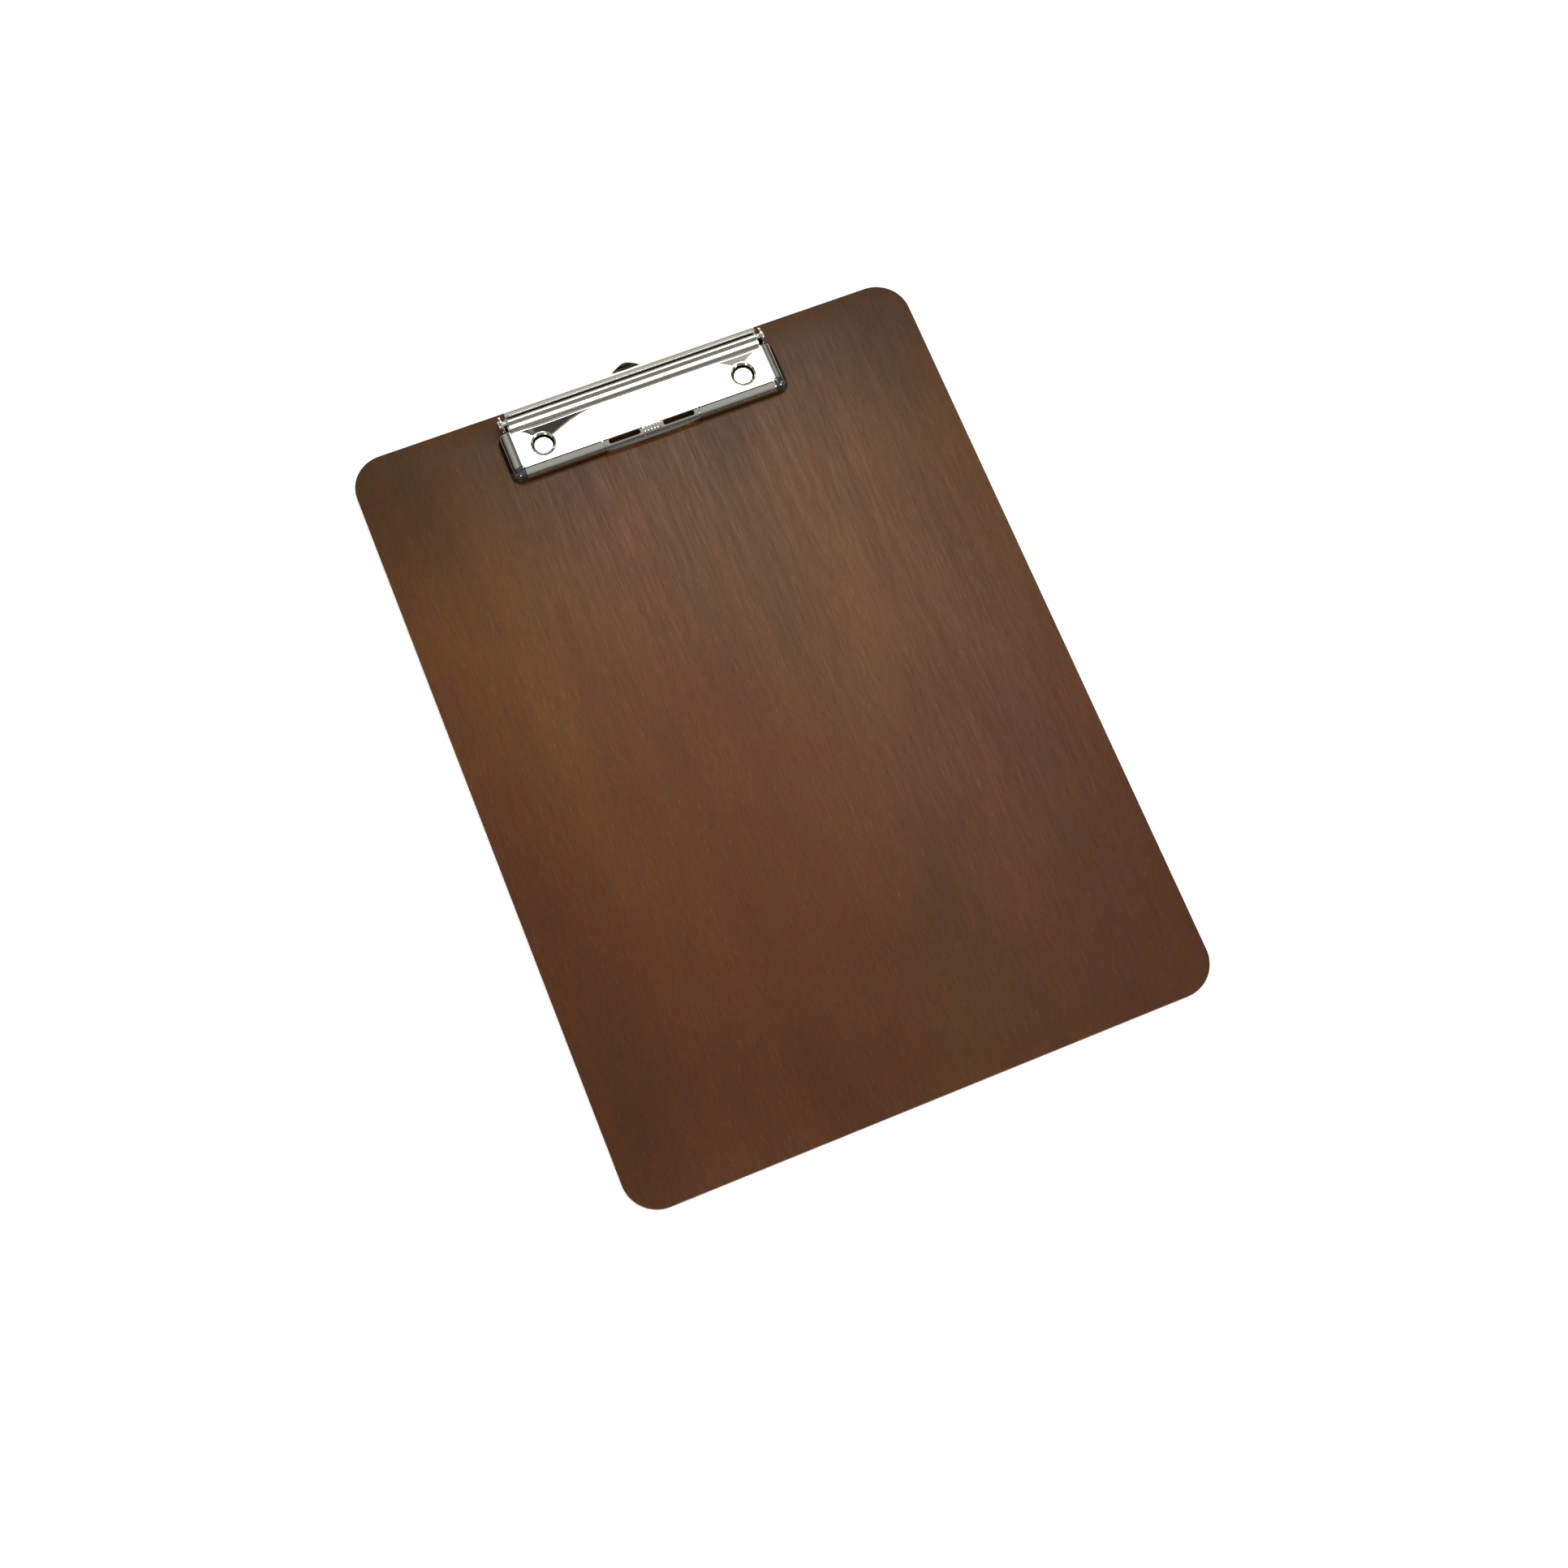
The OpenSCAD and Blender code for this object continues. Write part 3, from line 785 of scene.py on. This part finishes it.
def grip_tongue(side, x0):
    """The tongue that holds the cap under the flat top."""
    xs, ys, zs = (x0 - 3.8, x0 + 0.3), (-20.1, -17.0), (3.4, 4.5)
    corners = [clip(side * x, y, z) for x in xs for y in ys for z in zs]
    faces = [[0, 1, 3, 2], [4, 6, 7, 5], [0, 4, 5, 1], [2, 3, 7, 6], [0, 2, 6, 4], [1, 5, 7, 3]]
    return ease_edges(make_object("tongue", corners, faces), 0.25, 55)


def corner_grips():
    for side, name in ((-1, "left"), (1, "right")):
        grip = join([grip_cap(side, GRIP_X), grip_tongue(side, GRIP_X)], "grip_" + name)
        mark_sharp(grip, 60)
        finish_piece(grip, GRIP, "jaw", "soft_grip", "corner_grip_" + name)


# ------------------------------------------------------------------ base plate

CAP_R, CAP_END, BEND_R, WALL_Y, BASE_FRONT = 5, 82, 1.2, 5, -18.4
CHANNEL_X, CHANNEL_H, CHANNEL_FRONT = 7.6, 1.1, -15.4
EAR_OUT, EAR_R = 56.6, 3.4
PIP_Y, PIP_TRAVEL, PIP_R, PIP_TOP, PIP_SLOT_R, PIP_SLOT_X = -12.7, 14, 1.2, 1.7, 1.4, 3.2
BASE_RIVET_Y = (RIVET_Y - HINGE_Y) / MM


def base_y(v):
    """The stations down the base: 0-1 the floor, 1-2 its rear bend, 2-3 the wall and 3-4 the cap."""
    return BASE_FRONT + (WALL_Y - BEND_R - BASE_FRONT) * v


def base_v(y):
    return (y - BASE_FRONT) / (WALL_Y - BEND_R - BASE_FRONT)


def base_point(u, v):
    lift = CHANNEL_H * smooth((CHANNEL_X + 0.55 - abs(u)) / 1.1)
    lift *= smooth((base_y(min(v, 1)) - CHANNEL_FRONT + 0.9) / 1.1)
    if v <= 1:
        return clip(u, base_y(v), lift)
    if v <= 2:
        a = math.radians(-90 * (2 - v))
        y, z = WALL_Y - BEND_R + BEND_R * math.cos(a), BEND_R + lift + BEND_R * math.sin(a)
        return clip(u, y, z)
    if v <= 3:
        return clip(u, WALL_Y, BEND_R + lift + (HZ - BEND_R - lift) * (v - 2))
    a = math.radians(CAP_END * (v - 3))
    return clip(u, CAP_R * math.cos(a), HZ + CAP_R * math.sin(a))


def pip_slot(angle, share, u, v):
    """The slot in the channel's roof that the tab's pip runs in, with round ends."""
    y = base_y(v)
    mid, half = PIP_Y + PIP_TRAVEL / 2, PIP_TRAVEL / 2
    straight = max(-half, min(half, y - mid))
    dx, dy = u, y - mid - straight
    if abs(dy) > 1e-6:
        a = math.atan2(dy, dx)
        sx, sy = PIP_SLOT_R * math.cos(a), mid + straight + PIP_SLOT_R * math.sin(a)
    else:
        sx, sy = math.copysign(PIP_SLOT_R, u), y
    return u + (sx - u) * share, base_v(y + (sy - y) * share), 0.0


def base_holes(vs, slot_lo, slot_hi):
    """The two rivet holes, and the slot for the tab's pip."""
    rivet_x = RIVET_X / MM
    rows = [v for v in vs if abs(base_y(v) - BASE_RIVET_Y) <= 3.7 and v < 1]
    mid, half = (rows[0] + rows[-1]) / 2, (rows[-1] - rows[0]) / 2
    rings = {0.5: (2.6, 0.0), 1.0: (SHANK_R, 0.0)}
    holes = []
    for side in (-1, 1):
        hole = round_hole(side * rivet_x, BASE_RIVET_Y, base_v, rings)
        holes.append((side * rivet_x, mid, 3.6, half, hole, [0.5, 1.0]))
    rows = [v for v in vs if slot_lo - 0.01 <= base_y(v) <= slot_hi + 0.01]
    mid, half = (rows[0] + rows[-1]) / 2, (rows[-1] - rows[0]) / 2
    holes.append((0, mid, PIP_SLOT_X, half, pip_slot, [0.5, 1.0]))
    return holes


def base_sheet():
    """The floor, with its channel, and the wall that rolls over into the cap."""
    rivet_x = RIVET_X / MM
    slot_lo, slot_hi = PIP_Y - 2.4, PIP_Y + PIP_TRAVEL + 1.6
    across = stations(
        [0, 0.6, 1.2, 1.8, 2.4, PIP_SLOT_X, 4.4, 5.6, 6.6], spread(7.0, 8.3, 6),
        spread(8.3, rivet_x - 3.6, 14), spread(rivet_x - 3.6, rivet_x + 3.6, 10),
        spread(rivet_x + 3.6, BARREL_X, 4))
    floor_y = spread(BASE_FRONT, -17.4, 2) + spread(-16.8, slot_lo - 0.2, 5) + spread(slot_lo, slot_hi, 24)
    vs = stations([base_v(y) for y in floor_y], [1.0], spread(1, 2, 6), spread(2, 3, 3), spread(3, 4, 20))
    holes = base_holes(vs, slot_lo, slot_hi)
    return sheet("base_floor", both_ways(across), vs, base_point, (0, 0, -1), holes=holes)


def ear(side):
    """A side ear: a strip that leaves the floor, turns up and ends round over the hinge pin."""
    bend, root = 1.4, BARREL_X - 0.8
    out = EAR_OUT - root
    rise = [(0.0, 0.0), (out - bend, 0.0)]
    rise += [(x + out - bend, z + bend) for x, z in arc(0, 0, bend, -90, 0, 8)[1:]]
    rise += [(out, z) for z in (2.2, 3.2, 4.2, HZ)]
    top = [math.radians(a) for a in (12, 24, 36, 47, 57, 66, 74, 81, 86)]
    rise += [(out, HZ + EAR_R * math.sin(a)) for a in top]

    def point(u, v):
        x, z = rise[round(v)]
        half = EAR_R if z < HZ else math.sqrt(EAR_R ** 2 - (z - HZ) ** 2)
        return clip(side * (root + x), u * half, z)

    return sheet("ear", spread(-1, 1, 16), list(range(len(rise))), point, (side, 0, -1), edge=0.15)


def base_plate():
    base = join([base_sheet(), ear(-1), ear(1)], "base_sheet")
    finish_piece(base, BARREL, "board", "plated_sheet", "base_plate")


# ------------------------------------------------------------ pin and springs

PIN_R, PIN_HEAD_R = 1.2, 1.9
WIRE_R, COIL_R, COIL_TURNS, COIL_PITCH, COIL_X = 0.5, 1.85, 8, 1.06, 20
LEG_ANGLE, LEG_L, LEG_DOWN, TURN_STEPS = -60, 2.3, 4.14, 24


def hinge_pin():
    """The pin, with both its ends peened over outside the ears."""
    half = [(PIN_R, EAR_OUT - 0.1), (PIN_R + 0.1, EAR_OUT), (PIN_HEAD_R - 0.1, EAR_OUT + 0.03)]
    half += [(r + PIN_HEAD_R - 0.45, EAR_OUT + 0.35 + h) for r, h in arc(0, 0, 0.45, -35, 62, 6)]
    half += [(0.9, EAR_OUT + 0.88), (0.45, EAR_OUT + 0.94), (0, EAR_OUT + 0.95)]
    profile = [(r, -x) for r, x in reversed(half)] + half
    pin = lathe("pin", profile, lambda x, y, z: clip(z, x, HZ + y))
    finish_piece(pin, PIN, "board", "pin_steel", "hinge_pin")


def spring_path(side):
    """The moving leg, the coil and the fixed leg, as a centre line."""
    def coil(a, x):
        return clip(side * x, COIL_R * math.cos(math.radians(a)), HZ + COIL_R * math.sin(math.radians(a)))

    a = math.radians(LEG_ANGLE)
    leg = Vector((0, -math.sin(a), math.cos(a))) * MM
    sweep, count = 360 * COIL_TURNS + LEG_ANGLE, COIL_TURNS * TURN_STEPS
    path = [coil(LEG_ANGLE, COIL_X) + leg * s for s in spread(LEG_L, 0, 6)[:-1]]
    path += [coil(LEG_ANGLE - sweep * i / count, COIL_X + COIL_TURNS * COIL_PITCH * i / count)
             for i in range(count + 1)]
    return path + [path[-1] - Vector((0, 0, s * MM)) for s in spread(0, LEG_DOWN, 6)[1:]]


def springs():
    for side, name in ((-1, "left"), (1, "right")):
        spring = tube("spring_" + name, spring_path(side), WIRE_R * MM)
        finish_piece(spring, WIRE, None, "spring_wire", "torsion_spring_" + name)
        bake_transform(spring)


# ----------------------------------------------------------------- hanging tab

TAB_X, TAB_IN, TAB_GAP, TAB_BEND_Y, TAB_BEND_R = 6.5, -14.3, 0.15, 5.4, 4.2
TAB_TIP_Y = TAB_BEND_Y + TAB_BEND_R * math.cos(math.radians(15))
TAB_END_R, TAB_HOLE_Y, TAB_HOLE_R = 12, -2.4, 2.6


def tab_y(v):
    return TAB_IN + (TAB_BEND_Y - 1.4 - TAB_IN) * v


def tab_v(y):
    return (y - TAB_IN) / (TAB_BEND_Y - 1.4 - TAB_IN)


def tab_point(u, v):
    """Stations: 0-1 the flat strip, 1-2 on to its curled-up end, which is an arc in plan."""
    if v <= 1:
        corner = 1.2 * max(0.0, (abs(u) - TAB_X + 1.2) / 1.2) ** 3 * max(0.0, 1 - v / 0.12)
        return clip(u, tab_y(v) + corner, TAB_GAP)
    end_y = TAB_TIP_Y - TAB_END_R + math.sqrt(TAB_END_R ** 2 - u * u)
    end_y -= 0.9 * max(0.0, abs(u) - 5.3) ** 2
    flat = TAB_BEND_Y - tab_y(1)
    share = min(1.0, max(-1.0, (end_y - TAB_BEND_Y) / TAB_BEND_R))
    length = flat + (TAB_BEND_R * math.asin(share) if share > 0 else end_y - TAB_BEND_Y)
    s = length * (v - 1) - flat
    if s < 0:
        return clip(u, TAB_BEND_Y + s, TAB_GAP)
    a = s / TAB_BEND_R
    return clip(u, TAB_BEND_Y + TAB_BEND_R * math.sin(a), TAB_GAP + TAB_BEND_R * (1 - math.cos(a)))


def tab_sheet():
    """The strip, with the round hole that it hangs by."""
    us = both_ways(stations(spread(0, 2.0, 4), spread(2.0, 4.2, 4), spread(4.2, TAB_X, 6)))
    flat_y = [TAB_IN, TAB_IN + 0.2] + spread(PIP_Y - 1.0, PIP_Y + 2.0, 6) + [-9.6, -8.4, -7.4]
    vs = stations([tab_v(y) for y in flat_y + spread(-6.6, 1.8, 14)], spread(1, 2, 22))
    rings = {0.35: (3.4, 0.0), 0.7: (2.95, 0.0), 1.0: (TAB_HOLE_R, 0.0)}
    hole = round_hole(0, TAB_HOLE_Y, tab_v, rings)
    holes = [(0, tab_v(TAB_HOLE_Y), 4.2, tab_v(4.2) - tab_v(0), hole, sorted(rings))]
    return sheet("tab_sheet", us, vs, tab_point, (0, 0, -1), holes=holes)


def tab_pip():
    """The round pip that stands on the strip's inner end and runs in the channel's slot."""
    profile = [(0, 0.55), (PIP_R + 0.1, 0.55), (PIP_R + 0.1, 0.96), (PIP_R, 1.06), (PIP_R, 1.50)]
    profile += [(PIP_R - 0.07, 1.64), (PIP_R - 0.22, PIP_TOP), (0, PIP_TOP)]
    return lathe("tab_pip", profile, lambda x, y, z: clip(x, PIP_Y + y, z))


def hanging_tab():
    tab = join([tab_sheet(), tab_pip()], "tab_strip")
    finish_piece(tab, TAB, "tab", "tab_steel", "hang_tab")


# ---------------------------------------------------------------------- rivets

HEAD_R, HEAD_Z, HEAD_TOP, POCKET_Z, WASHER_R, WASHER_T = 4.0, 3.8, 6.32, 1.2, 4.5, 0.4

WASHER_Z = POCKET_Z - WASHER_T


def rivet_profile():
    """The rolled tail, the shank through the washer and board, and the low head."""
    tail = [(0, 2.2), (0.7, 2.15), (1.15, 1.9), (1.2, 0.9), (1.35, 0.45)]
    tail += [(r + 2.1, h + 0.55) for r, h in arc(0, 0, 0.44, 215, 270, 4)]
    tail += [(r + 2.65, h + 0.62) for r, h in arc(0, 0, 0.5, -80, 60, 7)]
    shank = [(2.6, WASHER_Z), (1.9, WASHER_Z), (1.9, HEAD_Z)]
    head = [(HEAD_R - 0.05, HEAD_Z), (HEAD_R, HEAD_Z + 0.1), (HEAD_R, HEAD_TOP - 0.3)]
    head += [(r + HEAD_R - 0.28, h + HEAD_TOP - 0.3) for r, h in arc(0, 0, 0.28, 15, 82, 5)]
    head += [(3.3, HEAD_TOP - 0.01), (2.2, HEAD_TOP - 0.004), (0, HEAD_TOP)]
    return tail + shank + head


def washer_profile():
    rim = WASHER_R - 0.08
    return [(SHANK_R, WASHER_Z), (rim, WASHER_Z), (WASHER_R, WASHER_Z + 0.1), (WASHER_R, POCKET_Z - 0.08),
            (rim, POCKET_Z), (SHANK_R, POCKET_Z), (SHANK_R, WASHER_Z)]


def rivets():
    for side, name in ((-1, "left"), (1, "right")):
        def at_rivet(x, y, z, side=side):
            return Vector((side * RIVET_X + x * MM, RIVET_Y + y * MM, z * MM))

        rivet = lathe("rivet_body_" + name, rivet_profile(), at_rivet, sharp=50)
        finish_piece(rivet, RIVET, "board", "rivet_steel", "rivet_" + name)
        washer = lathe("washer_" + name, washer_profile(), at_rivet)
        finish_piece(washer, RIVET, "board", "rivet_steel", "rivet_washer_" + name)


# -------------------------------------------------------------- floor and light

def pale_floor():
    bpy.ops.mesh.primitive_plane_add(size=12, location=(0, 0, -0.0002))
    floor = bpy.context.object
    floor.name = "floor"
    n = Finish("pale_floor")
    n.set(Base_Color=(0.93, 0.93, 0.925), Roughness=0.9, Specular_IOR_Level=0.1,
          Emission_Color=(1.0, 1.0, 1.0), Emission_Strength=0.12)
    floor.data.materials.append(n.material)


def studio():
    """A grey room: lighter overhead and behind, dark low down elsewhere, and white to the camera."""
    world = bpy.data.worlds.new("studio")
    bpy.context.scene.world = world
    world.use_nodes = True
    n = Nodes(world.node_tree, "Generated")
    height = n.spread(n.axis("Z"), 0.12, 0.80, 0.05, 0.44)
    behind = n.spread(n.axis("Y"), 0.40, 0.95, 0.0, 0.34)
    # A dark panel behind the softbox, seen in the metal beside it.
    x, y = n.axis("X"), n.axis("Y")
    panel = n.product(n.spread(y, 0.465, 0.515), n.spread(y, 0.57, 0.63, 1.0, 0.0),
                      n.spread(x, -0.16, -0.06), n.spread(x, 0.19, 0.26, 1.0, 0.0))
    gap = n.product(n.spread(y, 0.0, 0.09), n.spread(y, 0.30, 0.37, 1.0, 0.0))
    grey = n.product(n.math("ADD", height, behind), n.spread(panel, 0.0, 1.0, 1.0, 0.12),
                     n.spread(gap, 0.0, 1.0, 1.0, 0.3))
    background = n.node("Background", sockets={"Color": (1.0, 0.99, 0.96), "Strength": grey})
    white = n.node("Background", sockets={"Color": (1.0, 1.0, 1.0), "Strength": 1.0})
    seen = n.node("LightPath", "Is Camera Ray")
    mixed = n.node("MixShader", sockets={0: seen, 1: background, 2: white})
    n.link(mixed, n.tree.nodes.new("ShaderNodeOutputWorld").inputs[0])


def area_light(name, location, target, size, radiance, in_gloss=True):
    """A rectangular soft light of even radiance (1 is a white surface in the picture)."""
    light = bpy.data.lights.new(name, "AREA")
    light.shape = "RECTANGLE"
    light.size, light.size_y = size
    light.energy = radiance * math.pi * size[0] * size[1]
    obj = bpy.data.objects.new(name, light)
    bpy.context.scene.collection.objects.link(obj)
    obj.location = location
    obj.rotation_mode = "QUATERNION"
    obj.rotation_quaternion = (Vector(target) - Vector(location)).to_track_quat("-Z", "Y")
    obj.visible_glossy = in_gloss
    return obj


def lights():
    area_light("key_softbox", (0.335, 1.00, 2.0), (0.335, 1.00, 0), (0.60, 0.30), 6.5)
    area_light("right_softbox", (0.86, 0.70, 1.99), (0.86, 0.70, 0), (0.58, 0.85), 2.2)
    area_light("overhead", (0, 0, 2.6), (0, 0, 0), (4.5, 4.5), 1.6, in_gloss=False)
    area_light("left_fill", (-2.2, -0.2, 0.9), (0, 0, 0), (0.5, 0.9), 1.6)
    area_light("left_glint", (-1.2, -1.3, 1.2), (0, 0.1, 0), (0.45, 0.45), 16)
    area_light("right_glint", (1.3, -1.2, 1.2), (0, 0.1, 0), (0.45, 0.45), 16)
    area_light("right_fill", (2.4, -0.2, 1.1), (0, 0, 0), (0.6, 0.9), 1.6)


def main_camera():
    """The camera looks down from the lower left, turned so that the board leans to the left."""
    data = bpy.data.cameras.new("camera")
    data.sensor_width = 36
    data.lens = 51.5
    camera = bpy.data.objects.new("camera", data)
    bpy.context.scene.collection.objects.link(camera)
    bpy.context.scene.camera = camera
    camera.location = (-0.1381, -0.2322, 0.8379)
    aim = Vector((-0.00625, -0.02585, BOARD_T))
    back = (camera.location - aim).normalized()
    across = Vector((0.3505, 0.8948, 0.2765)).cross(back).normalized()
    turn = Matrix((across, back.cross(across), back)).transposed().to_4x4()
    camera.matrix_world = Matrix.Translation(camera.location) @ turn


board()
jaw()
corner_grips()
base_plate()
hinge_pin()
springs()
hanging_tab()
rivets()
pale_floor()
studio()
lights()
main_camera()
bpy.context.scene.view_settings.view_transform = "Standard"
